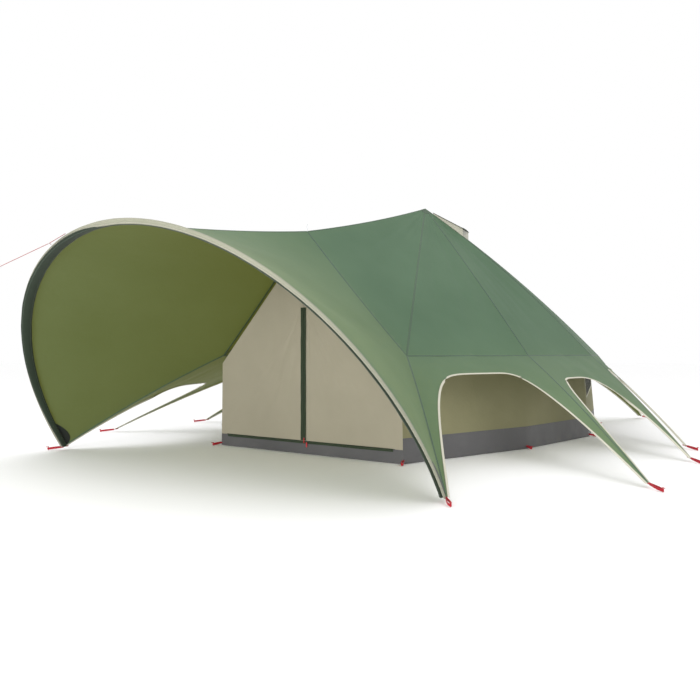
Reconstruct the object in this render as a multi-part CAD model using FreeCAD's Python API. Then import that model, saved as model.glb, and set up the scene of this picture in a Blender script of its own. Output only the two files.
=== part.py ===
"""Tipi family tent ("screen house"): green flysheet with a hooped awning over a beige inner tent.

Units are millimetres. The mouth of the awning faces -Y, +X is the side with the roof vent and
+Z is up. The main pole stands at x = 0, y = 0 while the shapes are built; every piece is then
moved by SHIFT_Y so that the origin is the middle of the footprint. z = 0 is the ground.
"""
import FreeCAD, Part
import math
import os

V = FreeCAD.Vector

# ---------------------------------------------------------------- driving dimensions
SHIFT_Y = 480.0             # from the main pole's foot to the middle of the footprint
PEAK_Z = 2600.0             # main peak
PORCH_Y = -2160.0           # second peak, over the gable of the inner tent
PORCH_Z = 2030.0
HOOP_HALF_WIDTH = 2050.0    # hoop at the mouth of the awning
HOOP_HEIGHT = 1800.0
HOOP_FOOT_Y = -3320.0
HOOP_FOOT_Z = 31.0
HOOP_LEAN = 960.0           # how far the crown of the hoop leans forward of its feet
HOOP_BELLY = 150.0          # extra forward bow halfway up
EAVE_Z = 890.0
EAVE = [(1070, -2170), (1550, -730), (1730, 630), (1660, 950), (1420, 1920)]
LEG_PEG = [(2075, -3345), (3000, -2150), (3005, -725), (2815, 130), (1645, 3310)]
TIP_SHARE = 0.965           # share of the way from eave to peg where the cloth of a leg ends
FLY = 6.0                   # thickness of the stand-in solid for a cloth
PEAK_PATCH = 0.035          # share of each roof seam covered by the peak patch
VENT_END = 0.20             # share of the seam where the vent mesh stops
# An arch: how far down the legs its top is, where across the panel, how square its two ends are.
NEAR_ARCHES = [(0.19, 0.59, 7.1, 3.2), (0.26, 0.33, 5.6, 3.2), (0.20, 0.5, 4.0, 4.0), (0.15, 0.5, 5.0, 5.0)]
FAR_ARCHES = [(0.39, 0.62, 6.1, 4.8)] + NEAR_ARCHES[1:]
BACK_ARCH = (0.12, 0.5, 5.3, 5.3)
LEG_EDGE = 0.012            # share of a skirt that is still leg at the tip
PIPING_WIDTH = 16.0
PIPING_THICK = 9.0

INNER = [(1060, -2210), (1530, -720), (1710, 620), (1400, 1880)]
INNER_TOP = [(1045, -2210), (1480, -700), (1645, 600), (1345, 1815)]
INNER_EAVE_Z = 815.0
INNER_GABLE_Z = 1920.0
COLLAR_Z = 2430.0           # rim of the hole in the inner roof that the main pole passes
COLLAR = 45.0               # half width of that hole
NOTCH = 30.0                # half width of the hole for the second pole
WALL = 4.0                  # thickness of inner cloth and groundsheet
TUB_SILL = 116.0            # height of the groundsheet edge under the door
TUB_SIDE = 205.0            # height of the groundsheet edge elsewhere
ZIP_TOP_Z = 1375.0
SILL_ZIP = (-18.0, -2.0)    # lower and upper edge of the sill zip, from TUB_SILL
DOOR_SLIDER = (18.0, 36.0)  # heights of the sliders and pulls, from TUB_SILL
DOOR_PULL = (-16.0, 30.0)
SILL_SLIDER = (-19.0, -1.0)
SILL_PULL = (-52.0, -8.0)
DOOR_HALF = 985.0
LEAF_GAP = 7.0              # between a door leaf and the cloth it folds against
ZIP_GAP = 1.5               # half the gap between the two halves of the door zip
TAPE = 22.0                 # width of a zip tape

HOOP_ROD_R = 6.0
HOOP_INSET = 26.0           # rod axis inward of the cloth edge
HOOP_DROP = 24.0            # rod axis below the cloth
SLEEVE_IN = 11.0
SLEEVE_OUT = 17.0
FERRULE_R = 8.2
FERRULE_HALF = 40.0
SECTION_SPANS = 5           # grid spans per section of the hoop rod
POLE_R = 12.5
POLE_WALL = 1.2
SPIGOT_HALF = 60.0
PEG_R = 3.5
PEG_HOOK_R = 3.0
PEG_H = 34.0
STRAP_WIDTH = 20.0
STRAP_THICK = 3.0
STRAP_START = 12.0          # from the end of a leg to its strap
PEG_AHEAD = 85.0            # from where a leg would reach the ground to its peg
VENT_TOP = 0.05             # hinge of the vent hood, as a share of the seam
VENT_LOW = 0.235            # lower rim of the vent hood
VENT_LIFT = 92.0            # how far the propped hood stands off the roof at its lower rim
HOOD = 5.0                  # thickness of the hood
CORD_R = 2.0                # guy line
BRIDLE = [V(-458, -4279, 1757), V(-647, -4288, 1705), V(-680, -4253, 1704)]
GUY_START = V(-653, -4290, 1703)
GUY_WAY = V(-0.90, -0.25, -0.30)
GUY_STATIONS = [0.0, 24.0, 536.0, 560.0]    # points of the line, as distances from its start

NT = 8                      # grid rows from the second peak to the first eave corner
LEG_STOPS = [0.0, 1 / 6, 2 / 6, 3 / 6, 4 / 6, 5 / 6, 0.965, 1.0]  # rows from eave to leg tip
NS = 8                      # grid columns from the body of the tent to the hoop
ACROSS = [0.0, 0.012, 0.035, 0.08, 0.14, 0.22, 0.34, 0.5, 0.66, 0.78, 0.86, 0.92, 0.965, 0.988, 1.0]
ROWS = [0.0, PEAK_PATCH, VENT_END, 0.4, 0.6, 0.8, 1.0]
SEAM_BULGE = [20.0, 30.0, 85.0, 85.0, 85.0]
LEG_BULGE = 30.0
RIDGE_SAG = 25.0
CREASE_SAG = 18.0
AWNING_SAG = 28.0
PANEL_SAG = 22.0
PEAK_CAP = 75.0             # below the peak the cloth is offset straight up, not along its normal

ABOVE = V(0, -300, -500)    # cloth of the body faces away from this point
UNDER_AWNING = V(0, -3000, 0)
INSIDE = V(0, -300, 900)


# ---------------------------------------------------------------- cloth building
def mix(a, b, t):
    return a + (b - a) * t


def mirror(p):
    return V(-p.x, p.y, p.z)


def key(p):
    return (round(p.x, 3) + 0.0, round(p.y, 3) + 0.0, round(p.z, 3) + 0.0)


class Cloth:
    """Panels that share their seam points, so that neighbours meet edge to edge."""

    def __init__(self, thickness):
        self.half = thickness / 2.0
        self.panels = {}
        self.points = {}

    def triangle(self, name, a, b, c, centre):
        n = (b - a).cross(c - a)
        if n.Length < 1.0:
            return
        if n.dot((a + b + c) * (1 / 3.0) - centre) < 0:
            b, c = c, b
        ks = tuple(key(p) for p in (a, b, c))
        for k in ks:
            self.points.setdefault(k, V(*k))
        self.panels.setdefault(name, []).append(ks)

    def fan(self, name, pts, centre):
        for b, c in zip(pts[1:], pts[2:]):
            self.triangle(name, pts[0], b, c, centre)

    def grid(self, name, rows, centre):
        for upper, lower in zip(rows, rows[1:]):
            for i in range(len(upper) - 1):
                self.triangle(name, upper[i], lower[i], lower[i + 1], centre)
                self.triangle(name, upper[i], lower[i + 1], upper[i + 1], centre)

    def normals(self):
        total = {}
        for tris in self.panels.values():
            for ks in tris:
                a, b, c = [self.points[k] for k in ks]
                n = (b - a).cross(c - a)
                for k in ks:
                    total[k] = total.get(k, V(0, 0, 0)) + n
        for k in total:
            if k[2] > PEAK_Z - PEAK_CAP:
                total[k] = V(0, 0, 1)
        return {k: n * (1.0 / n.Length) for k, n in total.items()}

    def solid(self, name, normal):
        tris = self.panels[name]
        used = set((t[i], t[(i + 1) % 3]) for t in tris for i in range(3))
        out = {k: self.points[k] + normal[k] * self.half for t in tris for k in t}
        back = {k: self.points[k] - normal[k] * self.half for t in tris for k in t}
        faces = []
        for a, b, c in tris:
            faces.append(facet(out[a], out[b], out[c]))
            faces.append(facet(back[a], back[c], back[b]))
        for a, b in used:
            if (b, a) in used:
                continue
            if a < b:
                faces.append(facet(out[b], out[a], back[b]))
                faces.append(facet(back[b], out[a], back[a]))
            else:
                faces.append(facet(out[b], out[a], back[a]))
                faces.append(facet(back[b], out[b], back[a]))
        return closed(faces)


def facet(*pts):
    return Part.Face(Part.makePolygon(list(pts) + [pts[0]]))


def closed(faces):
    shell = Part.Shell(faces)
    shell.sewShape()
    solid = Part.Solid(shell)
    if solid.Volume < 0:
        solid.reverse()
    return solid


def sweep(path, frames, section, inner=None):
    """Straight-sided bar or tube through the path points; section is (across, up) pairs."""
    faces = []

    def rings(sec):
        return [[p + f[0] * x + f[1] * z for x, z in sec] for p, f in zip(path, frames)]

    def walls(all_rings, turn):
        for r0, r1 in zip(all_rings, all_rings[1:]):
            for i in range(len(r0)):
                j = (i + 1) % len(r0)
                tri_a = [r0[i], r0[j], r1[j]]
                tri_b = [r0[i], r1[j], r1[i]]
                if turn:
                    tri_a.reverse()
                    tri_b.reverse()
                faces.append(facet(*tri_a))
                faces.append(facet(*tri_b))

    def cap(pts, turn):
        if turn:
            pts = list(reversed(pts))
        faces.append(facet(*pts))

    outer = rings(section)
    walls(outer, False)
    hole = rings(inner) if inner else None
    if hole:
        walls(hole, True)
    for end, turn in ((0, True), (-1, False)):
        ring = outer[end]
        if not hole:
            for i in range(1, len(ring) - 1):
                cap([ring[0], ring[i], ring[i + 1]], turn)
            continue
        for i in range(len(ring)):
            j = (i + 1) % len(ring)
            cap([ring[i], ring[j], hole[end][j]], turn)
            cap([ring[i], hole[end][j], hole[end][i]], turn)
    return closed(faces)


def ring_section(r, sides=8):
    step = 2 * math.pi / sides
    return [(r * math.cos((i + 0.5) * step), r * math.sin((i + 0.5) * step)) for i in range(sides)]


def plate(pts, thickness_y):
    """Flat plate from points in one plane y = constant, centred on that plane."""
    face = facet(*[p - V(0, thickness_y / 2.0, 0) for p in pts])
    return face.extrude(V(0, thickness_y, 0))


def mirrored(shape):
    return shape.mirror(V(0, 0, 0), V(1, 0, 0))


def box(x0, x1, y0, y1, z0, z1):
    return Part.makeBox(x1 - x0, y1 - y0, z1 - z0, V(x0, y0, z0))


# ---------------------------------------------------------------- shape of the flysheet
PEAK = V(0, 0, PEAK_Z)
PORCH = V(0, PORCH_Y, PORCH_Z)
EAVES = [V(x, y, EAVE_Z) for x, y in EAVE]
PEGS = [V(x, y, 0) for x, y in LEG_PEG]
TIPS = [mix(e, p, TIP_SHARE) for e, p in zip(EAVES, PEGS)]
LAST = len(EAVES) - 1


def hoop(angle):
    """Point on the cloth edge of the awning; angle 0 is the near foot, 90 the crown."""
    a = math.radians(angle)
    w = math.sin(a)
    y = HOOP_FOOT_Y - HOOP_LEAN * w - HOOP_BELLY * w * (1 - w)
    return V(HOOP_HALF_WIDTH * math.cos(a), y, HOOP_FOOT_Z + (HOOP_HEIGHT - HOOP_FOOT_Z) * w)


def arch_cut(u, arch):
    """Share of the leg length where the cloth ends, at u across a skirt panel."""
    top, crown, first, second = arch
    if u < crown:
        reach, power = (crown - u) / (crown - LEG_EDGE), first
    else:
        reach, power = (u - crown) / (1 - LEG_EDGE - crown), second
    return min(1.0, top + (1 - top) * reach ** power)


def seam(i, w):
    return mix(PEAK, EAVES[i], w) + V(0, 0, 4 * SEAM_BULGE[i] * w * (1 - w))


def ridge(w):
    return mix(PEAK, PORCH, w) - V(0, 0, 4 * RIDGE_SAG * w * (1 - w))


def crease(u):
    return mix(PORCH, EAVES[0], u) - V(0, 0, 4 * CREASE_SAG * u * (1 - u))


def leg(i, w):
    out = V(TIPS[i].x - EAVES[i].x, TIPS[i].y - EAVES[i].y, 0)
    out.normalize()
    lift = 4 * LEG_BULGE * w * (1 - w)
    return mix(EAVES[i], TIPS[i], w) + out * (lift * 0.6) + V(0, 0, lift * 0.8)


def eave(i, u):
    return mix(EAVES[i], EAVES[i + 1], u)


def roof_rows(left, right, foot, us):
    """Rows of a roof panel from the peak down; left and right are its seams.
    Its columns are evenly spaced at the peak and as given by us at the eave.
    """
    last = len(us) - 1
    rows = []
    for w in ROWS:
        bulge_left = left(w) - mix(PEAK, foot(0), w)
        bulge_right = right(w) - mix(PEAK, foot(1), w)
        row = []
        for k, lower in enumerate(us):
            u = k / last + (lower - k / last) * math.sqrt(w)
            drop = 4 * PANEL_SAG * u * (1 - u) * math.sin(math.pi * w)
            row.append(mix(PEAK, foot(u), w) + mix(bulge_left, bulge_right, u) - V(0, 0, drop))
        rows.append(row)
    return rows


def skirt_rows(left, right, arch):
    """Rows of a skirt panel from the eave down to its arched lower edge."""
    rows = []
    for stop in LEG_STOPS:
        ws = [stop * arch_cut(u, arch) for u in ACROSS]
        rows.append([mix(left(w), right(w), u) for u, w in zip(ACROSS, ws)])
    return rows


def side_skirt(i, tag):
    arches = NEAR_ARCHES if tag == "near" else FAR_ARCHES
    rows = skirt_rows(lambda w: leg(i, w), lambda w: leg(i + 1, w), arches[i])
    return rows if tag == "near" else [[mirror(p) for p in row] for row in rows]


def back_skirt():
    return skirt_rows(lambda w: leg(LAST, w), lambda w: mirror(leg(LAST, w)), BACK_ARCH)


def awning_rows():
    """Rows of the awning from the ridge down, each running from the body of the tent to the hoop."""
    span = NT + len(LEG_STOPS) - 2.0
    stops = [(j / span, crease(j / NT)) for j in range(NT + 1)]
    stops += [((NT + (span - NT) * w) / span, leg(0, w)) for w in LEG_STOPS[1:]]
    rows = []
    for share, start in stops:
        end = hoop(90.0 * (1 - share))
        sag = 4 * AWNING_SAG * (1 - share)
        rows.append([mix(start, end, i / NS) - V(0, 0, sag * (i / NS) * (1 - i / NS))
                     for i in range(NS + 1)])
    return rows


def build_fly():
    cloth = Cloth(FLY)
    us = ACROSS
    front_us = [i / NT for i in range(NT + 1)]
    roofs = [("front", roof_rows(ridge, lambda w: seam(0, w), crease, front_us))]
    for i, name in enumerate(("side_1", "side_2", "side_3", "side_3")):
        rows = roof_rows(lambda w, i=i: seam(i, w), lambda w, i=i: seam(i + 1, w),
                         lambda u, i=i: eave(i, u), us)
        roofs.append((name, rows))
    for tag in ("near", "far"):
        def place(rows):
            return rows if tag == "near" else [[mirror(p) for p in row] for row in rows]

        for name, shape in roofs:
            rows = place(shape)
            cloth.grid("peak_patch", rows[:2], ABOVE)
            if name == "side_3" and tag == "near":
                cloth.grid("vent_mesh", rows[1:3], ABOVE)
                rows = rows[1:]
            cloth.grid("fly_%s_%s" % (name, tag), rows[1:], ABOVE)
        for i in range(LAST):
            cloth.grid("skirt_%d_%s" % (i + 1, tag), side_skirt(i, tag), ABOVE)
        cloth.grid("awning_" + tag, place(awning_rows()), UNDER_AWNING)
    back = roof_rows(lambda w: seam(LAST, w), lambda w: mirror(seam(LAST, w)),
                     lambda u: mix(EAVES[LAST], mirror(EAVES[LAST]), u), us)
    cloth.grid("peak_patch", back[:2], ABOVE)
    cloth.grid("fly_back", back[1:], ABOVE)
    cloth.grid("skirt_back", back_skirt(), ABOVE)
    return cloth


# ---------------------------------------------------------------- edge trims and hoop
def edge_frames(path, inside, normal):
    """Outward-in-the-cloth and cloth-normal directions at each point of a free edge."""
    frames = []
    for i, p in enumerate(path):
        along = path[min(i + 1, len(path) - 1)] - path[max(i - 1, 0)]
        n = normal[key(p)]
        out = n.cross(along).normalize()
        if out.dot(inside[i] - p) > 0:
            out = out * -1
        frames.append((out, n))
    return frames


def tape(path, inside, normal):
    gap = 0.4
    low, high = -PIPING_THICK / 2, PIPING_THICK / 2
    sec = [(gap, low), (gap + PIPING_WIDTH, low), (gap + PIPING_WIDTH, high), (gap, high)]
    return sweep(path, edge_frames(path, inside, normal), sec)


def arch_tape(rows, normal):
    """Piping along one arch, from leg tip to leg tip."""
    return tape(rows[-1][1:-1], rows[-2][1:-1], normal)


def hoop_edge():
    """Cloth edge over the whole hoop and the cloth points next to it, near foot to far foot."""
    rows = awning_rows()
    near = [(r[-1], r[-2]) for r in reversed(rows)]
    far = [(mirror(a), mirror(b)) for a, b in reversed(near[:-1])]
    pairs = near + far
    return [a for a, b in pairs], [b for a, b in pairs]


def hoop_axis(edge, frames):
    return [p - f[0] * HOOP_INSET - f[1] * HOOP_DROP for p, f in zip(edge, frames)]


def ferrule(axis, frames, i):
    path = [axis[i] + (axis[j] - axis[i]).normalize() * FERRULE_HALF if j != i else axis[i]
            for j in (i - 1, i, i + 1)]
    fr = [frames[i]] * 3
    return sweep(path, fr, ring_section(FERRULE_R), ring_section(HOOP_ROD_R + 0.25))


# ---------------------------------------------------------------- inner tent
def build_inner():
    cloth = Cloth(WALL)
    front_y = INNER[0][1]
    slope_y = (COLLAR_Z - INNER_GABLE_Z) / (-COLLAR - front_y)
    slope_x = (INNER_GABLE_Z - INNER_EAVE_Z) / INNER_TOP[0][0]

    def roof_point(x, y):
        return V(x, y, INNER_GABLE_Z + slope_y * (y - front_y) - slope_x * abs(x))

    for tag in ("near", "far"):
        def place(*pts):
            return [p if tag == "near" else mirror(p) for p in pts]

        def at(i, z):
            low, high = V(*INNER[i], 0), V(*INNER_TOP[i], INNER_EAVE_Z)
            return mix(low, high, z / INNER_EAVE_Z)

        floor_z = WALL / 2
        gable = V(0, front_y, INNER_GABLE_Z)
        zip_top = V(0, front_y, ZIP_TOP_Z)
        sill_mid = V(0, front_y, TUB_SILL)
        door = V(DOOR_HALF, front_y, TUB_SILL)
        wall = "inner_front_wall"
        cloth.fan(wall, place(at(0, INNER_EAVE_Z), gable, zip_top, door, at(0, TUB_SIDE)), INSIDE)
        cloth.fan(wall, place(at(0, TUB_SIDE), door, at(0, TUB_SILL)), INSIDE)
        tub = "groundsheet"
        cloth.fan(tub, place(V(0, front_y, floor_z), sill_mid, door, at(0, TUB_SILL),
                             at(0, floor_z)), INSIDE)
        cloth.fan(tub, place(at(1, floor_z), at(0, floor_z), at(0, TUB_SILL), at(0, TUB_SIDE),
                             at(1, TUB_SIDE)), INSIDE)
        cloth.fan(tub, place(V(0, 0, floor_z), V(0, front_y, floor_z), at(0, floor_z),
                             at(1, floor_z), at(2, floor_z), at(3, floor_z),
                             V(0, at(3, floor_z).y, floor_z)), INSIDE)
        for i in (1, 2):
            cloth.fan(tub, place(at(i, floor_z), at(i, TUB_SIDE), at(i + 1, TUB_SIDE),
                                 at(i + 1, floor_z)), INSIDE)
        back_low, back_rim = V(0, at(3, floor_z).y, floor_z), V(0, at(3, TUB_SIDE).y, TUB_SIDE)
        cloth.fan(tub, place(at(3, floor_z), at(3, TUB_SIDE), back_rim, back_low), INSIDE)
        wall_1 = "inner_wall_1_" + tag
        cloth.fan(wall_1, place(at(1, INNER_EAVE_Z), at(1, TUB_SIDE), at(0, TUB_SIDE),
                                at(0, INNER_EAVE_Z)), INSIDE)
        cloth.fan("inner_wall_2_" + tag, place(at(1, TUB_SIDE), at(1, INNER_EAVE_Z),
                                               at(2, INNER_EAVE_Z), at(2, TUB_SIDE)), INSIDE)
        low_0, high_0 = at(2, TUB_SIDE), at(2, INNER_EAVE_Z)
        low_1, high_1 = at(3, TUB_SIDE), at(3, INNER_EAVE_Z)
        pane = [mix(mix(low_0, low_1, s), mix(high_0, high_1, s), t)
                for s, t in ((0.10, 0.36), (0.92, 0.50), (0.92, 0.94), (0.10, 0.94))]
        rim = [low_0, low_1, high_1, high_0]
        for j in range(4):
            k = (j + 1) % 4
            cloth.fan("inner_wall_3_" + tag, place(rim[j], rim[k], pane[k], pane[j]), INSIDE)
        cloth.fan("window_mesh_" + tag, place(*pane), INSIDE)
        top = high_1 - V(high_1.x, 0, 0)
        cloth.fan("inner_back_wall", place(low_1, high_1, top, back_rim), INSIDE)
        eaves = [at(i, INNER_EAVE_Z) for i in range(4)]
        rim = [gable, roof_point(NOTCH, front_y + 25), roof_point(NOTCH, front_y + 80),
               roof_point(0, front_y + 105), V(0, -COLLAR, COLLAR_Z), V(COLLAR, 0, COLLAR_Z)]
        roof = "inner_roof_" + tag
        cloth.fan(roof, place(eaves[0], *rim), INSIDE)
        cloth.fan(roof, place(rim[-1], *eaves), INSIDE)
        cloth.fan(roof, place(eaves[3], rim[-1], V(0, COLLAR, COLLAR_Z), top), INSIDE)
    return cloth


def door_line(x):
    """Height of the folding edge of a door leaf at x."""
    run = math.hypot(DOOR_HALF, ZIP_TOP_Z - TUB_SILL)
    slope = (ZIP_TOP_Z - TUB_SILL) / DOOR_HALF
    return ZIP_TOP_Z - slope * x - LEAF_GAP * run / DOOR_HALF


def door_pieces():
    y = INNER[0][1]
    low = TUB_SILL + 6.0
    x0, x1 = ZIP_GAP, ZIP_GAP + TAPE
    slope = (ZIP_TOP_Z - TUB_SILL) / DOOR_HALF
    corner = (door_line(0) - low) / slope
    leaf = plate([V(x1, y, low), V(corner, y, low), V(x1, y, door_line(x1))], WALL)
    zip_half = plate([V(x0, y, low), V(x1, y, low), V(x1, y, door_line(x1)),
                      V(x0, y, door_line(x0))], WALL)
    return leaf, zip_half


# ---------------------------------------------------------------- poles, pegs and cords
def tube(x, y, z0, z1, r, wall):
    outer = Part.makeCylinder(r, z1 - z0, V(x, y, z0))
    return outer.cut(Part.makeCylinder(r - wall, z1 - z0, V(x, y, z0)))


def pole(name, y, floor, joints, top, pin_top):
    """Sectioned upright pole: foot, tube sections, spigots inside the joints, top plug with pin."""
    foot_h = 22.0
    z0 = floor + foot_h
    foot = Part.makeCylinder(POLE_R + 6, 8, V(0, y, floor))
    foot = foot.fuse(Part.makeCylinder(POLE_R, foot_h - 8, V(0, y, floor + 8)))
    pieces = {}
    marks = [z0] + joints + [top]
    for i in range(len(marks) - 1):
        pieces["%s_section_%d" % (name, i + 1)] = tube(0, y, marks[i], marks[i + 1], POLE_R, POLE_WALL)
    bore = POLE_R - POLE_WALL
    spigots = [tube(0, y, z - SPIGOT_HALF, z + SPIGOT_HALF, bore - 0.1, 1.5) for z in joints]
    plug = Part.makeCylinder(bore - 0.1, 30, V(0, y, top - 30))
    plug = plug.fuse(Part.makeCylinder(POLE_R, 10, V(0, y, top)))
    plug = plug.fuse(Part.makeCylinder(4.0, pin_top - top - 10, V(0, y, top + 10)))
    pieces[name + "_top"] = plug.removeSplitter()
    return pieces, foot.removeSplitter(), spigots


def peg(foot, away):
    """Hooked peg, from the ground up; the hook points away from the tent."""
    shaft = Part.makeCylinder(PEG_R, PEG_H, foot)
    hook = Part.makeCylinder(PEG_HOOK_R, 22.0, foot + V(0, 0, PEG_H - PEG_R - 1.0), away)
    return shaft.fuse(hook).removeSplitter()


def strap(start, foot, away):
    """Webbing from a corner of the cloth down to its peg, with the eye that goes round the peg."""
    across = V(-away.y, away.x, 0) * (STRAP_WIDTH / 2)
    near = foot - away * 12.0 + V(0, 0, 9.0)
    up = across.cross(near - start).normalize() * STRAP_THICK
    if up.z < 0:
        up = up * -1
    band = facet(start + across, near + across, near - across, start - across).extrude(up)
    eye = Part.makeCylinder(14.0, 9.0, foot + V(0, 0, 1.0))
    eye = eye.cut(Part.makeCylinder(PEG_R + 1.5, 9.0, foot + V(0, 0, 1.0)))
    return band.fuse(eye).removeSplitter()


STRAIGHT = 1.55             # half the angle at a route point, in radians, from which it needs no arc


def cord(pts, r, bend):
    """Round cord along straight runs joined by tangent arcs."""
    edges = []
    start = pts[0]
    for i in range(1, len(pts) - 1):
        a = (pts[i - 1] - pts[i]).normalize()
        b = (pts[i + 1] - pts[i]).normalize()
        half = a.getAngle(b) / 2
        if half > STRAIGHT:
            continue
        back = bend / math.tan(half)
        p, q = pts[i] + a * back, pts[i] + b * back
        mid = pts[i] + (a + b).normalize() * (bend / math.sin(half) - bend)
        edges.append(Part.makeLine(start, p))
        edges.append(Part.Arc(p, mid, q).toShape())
        start = q
    edges.append(Part.makeLine(start, pts[-1]))
    first = (pts[1] - pts[0]).normalize()
    ring = Part.Wire(Part.makeCircle(r, pts[0], first))
    return Part.Wire(edges).makePipeShell([ring], True, False)


def along_x(shape, start, way):
    """Place a shape built along +X so that it starts at a point and runs that way."""
    shape.Placement = FreeCAD.Placement(start, FreeCAD.Rotation(V(1, 0, 0), way))
    return shape


def guy_pieces():
    """Bridle tied to the hoop's edge, the line held by it, its tensioner and its end ring."""
    way = V(GUY_WAY).normalize()
    route = [GUY_START + way * d for d in GUY_STATIONS]
    hole = Part.makeCylinder(CORD_R + 0.4, 34, V(0, 0, 0), V(1, 0, 0))
    runner = along_x(box(0, 34, -6, 6, -4, 4).cut(hole), route[-1] - way * 50.0, way)
    ring = along_x(Part.makeTorus(11.0, 2.5, V(14.5, 0, 0), V(0, 1, 0)), route[-1], way)
    return {"guy_bridle": cord(BRIDLE, CORD_R, 10.0), "guy_line": cord(route, CORD_R, 10.0),
            "guy_runner": runner, "guy_ring": ring}


def vent_hood():
    """Stiff flap over the roof vent, standing open."""
    lift = [V(0, 0, 14.0), V(0, 0, VENT_LIFT)]
    top = [seam(i, VENT_TOP) + lift[0] for i in (2, LAST)]
    low = [seam(i, VENT_LOW) + lift[1] for i in (2, LAST)]
    n = (low[0] - top[0]).cross(top[1] - top[0]).normalize()
    if n.z < 0:
        n = n * -1
    return facet(top[0], low[0], low[1], top[1]).extrude(n * HOOD)


# ---------------------------------------------------------------- build everything
pieces = {}
fly = build_fly()
fly_normal = fly.normals()
for panel in fly.panels:
    pieces[panel] = fly.solid(panel, fly_normal)
eyelet = Part.makeCylinder(9.0, 60.0, PORCH - V(0, 0, 30))
for panel in ("fly_front_near", "fly_front_far", "awning_near", "awning_far"):
    pieces[panel] = pieces[panel].cut(eyelet)

tapes = [arch_tape(side_skirt(i, tag), fly_normal) for tag in ("near", "far") for i in range(LAST)]
tapes.append(arch_tape(back_skirt(), fly_normal))
pieces["arch_piping"] = Part.makeCompound(tapes)
pieces["vent_hood"] = vent_hood()

edge, edge_inside = hoop_edge()
hoop_frames = edge_frames(edge, edge_inside, fly_normal)
pieces["awning_piping"] = tape(edge[1:-1], edge_inside[1:-1], fly_normal)
axis = hoop_axis(edge, hoop_frames)
pieces["hoop_sleeve"] = sweep(axis[1:-1], hoop_frames[1:-1], ring_section(SLEEVE_OUT),
                              ring_section(SLEEVE_IN))
count = (len(axis) - 1) // SECTION_SPANS
sections = []
for i in range(count):
    span = slice(i * SECTION_SPANS, (i + 1) * SECTION_SPANS + 1)
    sections.append(sweep(axis[span], hoop_frames[span], ring_section(HOOP_ROD_R)))
pieces["hoop_sections"] = Part.makeCompound(sections)
joints = [ferrule(axis, hoop_frames, i * SECTION_SPANS) for i in range(1, count)]
pieces["hoop_ferrules"] = Part.makeCompound(joints)
pieces.update(guy_pieces())

inner = build_inner()
inner_normal = inner.normals()
for panel in inner.panels:
    pieces[panel] = inner.solid(panel, inner_normal)
for tag in ("near", "far"):
    walls = [pieces.pop("inner_wall_%d_%s" % (i, tag)) for i in (1, 2, 3)]
    pieces["inner_walls_" + tag] = Part.makeCompound(walls)
panes = [pieces.pop("window_mesh_" + tag) for tag in ("near", "far")]
pieces["window_mesh"] = Part.makeCompound(panes)

leaf, zip_half = door_pieces()
pieces["door_leaf_near"] = leaf
pieces["door_leaf_far"] = mirrored(leaf)
pieces["door_zip_near"] = zip_half
pieces["door_zip_far"] = mirrored(zip_half)
face_y = INNER[0][1] - WALL / 2


def on_front(x0, x1, out, back, heights):
    """Block in front of the inner front wall: x range, depths from the wall, heights above the sill."""
    return box(x0, x1, face_y - out, face_y - back, TUB_SILL + heights[0], TUB_SILL + heights[1])


pieces["sill_zip"] = on_front(-DOOR_HALF + 30, DOOR_HALF - 30, 2.6, 0.2, SILL_ZIP)
pieces["door_slider"] = on_front(4, 20, 7.6, 0.6, DOOR_SLIDER)
pieces["door_pull"] = on_front(8, 16, 9.8, 7.8, DOOR_PULL)
pieces["sill_slider"] = on_front(34, 54, 9.6, 3.2, SILL_SLIDER)
pieces["sill_pull"] = on_front(38, 50, 11.8, 9.8, SILL_PULL)

floor_top = WALL + 0.4
main, main_foot, main_spigots = pole("main_pole", 0.0, floor_top, [880.0, 1730.0], 2520.0, 2585.0)
porch, porch_foot, porch_spigots = pole("porch_pole", PORCH_Y, floor_top, [990.0], 1930.0, 2095.0)
pieces.update(main)
pieces.update(porch)
pieces["pole_feet"] = Part.makeCompound([main_foot, porch_foot])
pieces["pole_spigots"] = Part.makeCompound(main_spigots + porch_spigots)

pegs = []
loops = []
corners = []
for tip, low in zip(TIPS, PEGS):
    away = V(low.x - tip.x, low.y - tip.y, 0).normalize()
    corners.append((tip + (low - tip).normalize() * STRAP_START, low + away * PEG_AHEAD))
corners += [(V(x, y, 26.0) * 1.006, V(x, y, 0) * 1.035) for x, y in INNER]
for start, foot in corners:
    away = V(foot.x - start.x, foot.y - start.y, 0).normalize()
    hooked, band = peg(foot, away), strap(start, foot, away)
    pegs += [hooked, mirrored(hooked)]
    loops += [band, mirrored(band)]
pieces["pegs"] = Part.makeCompound(pegs)
pieces["peg_loops"] = Part.makeCompound(loops)

os.makedirs("parts", exist_ok=True)
for name in sorted(pieces):
    shape = pieces[name].copy()
    shape.translate(V(0, SHIFT_Y, 0))
    shape.exportStep("parts/%s.step" % name)
    print(name, len(shape.Solids), round(shape.Volume / 1000.0, 1), shape.isValid())
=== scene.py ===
"""Looks of the tipi tent: cloth sheets, trims, zips, cords and materials over the fixed CAD frame."""
import math

import bmesh
import bpy
import numpy as np
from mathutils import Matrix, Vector, noise


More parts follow.
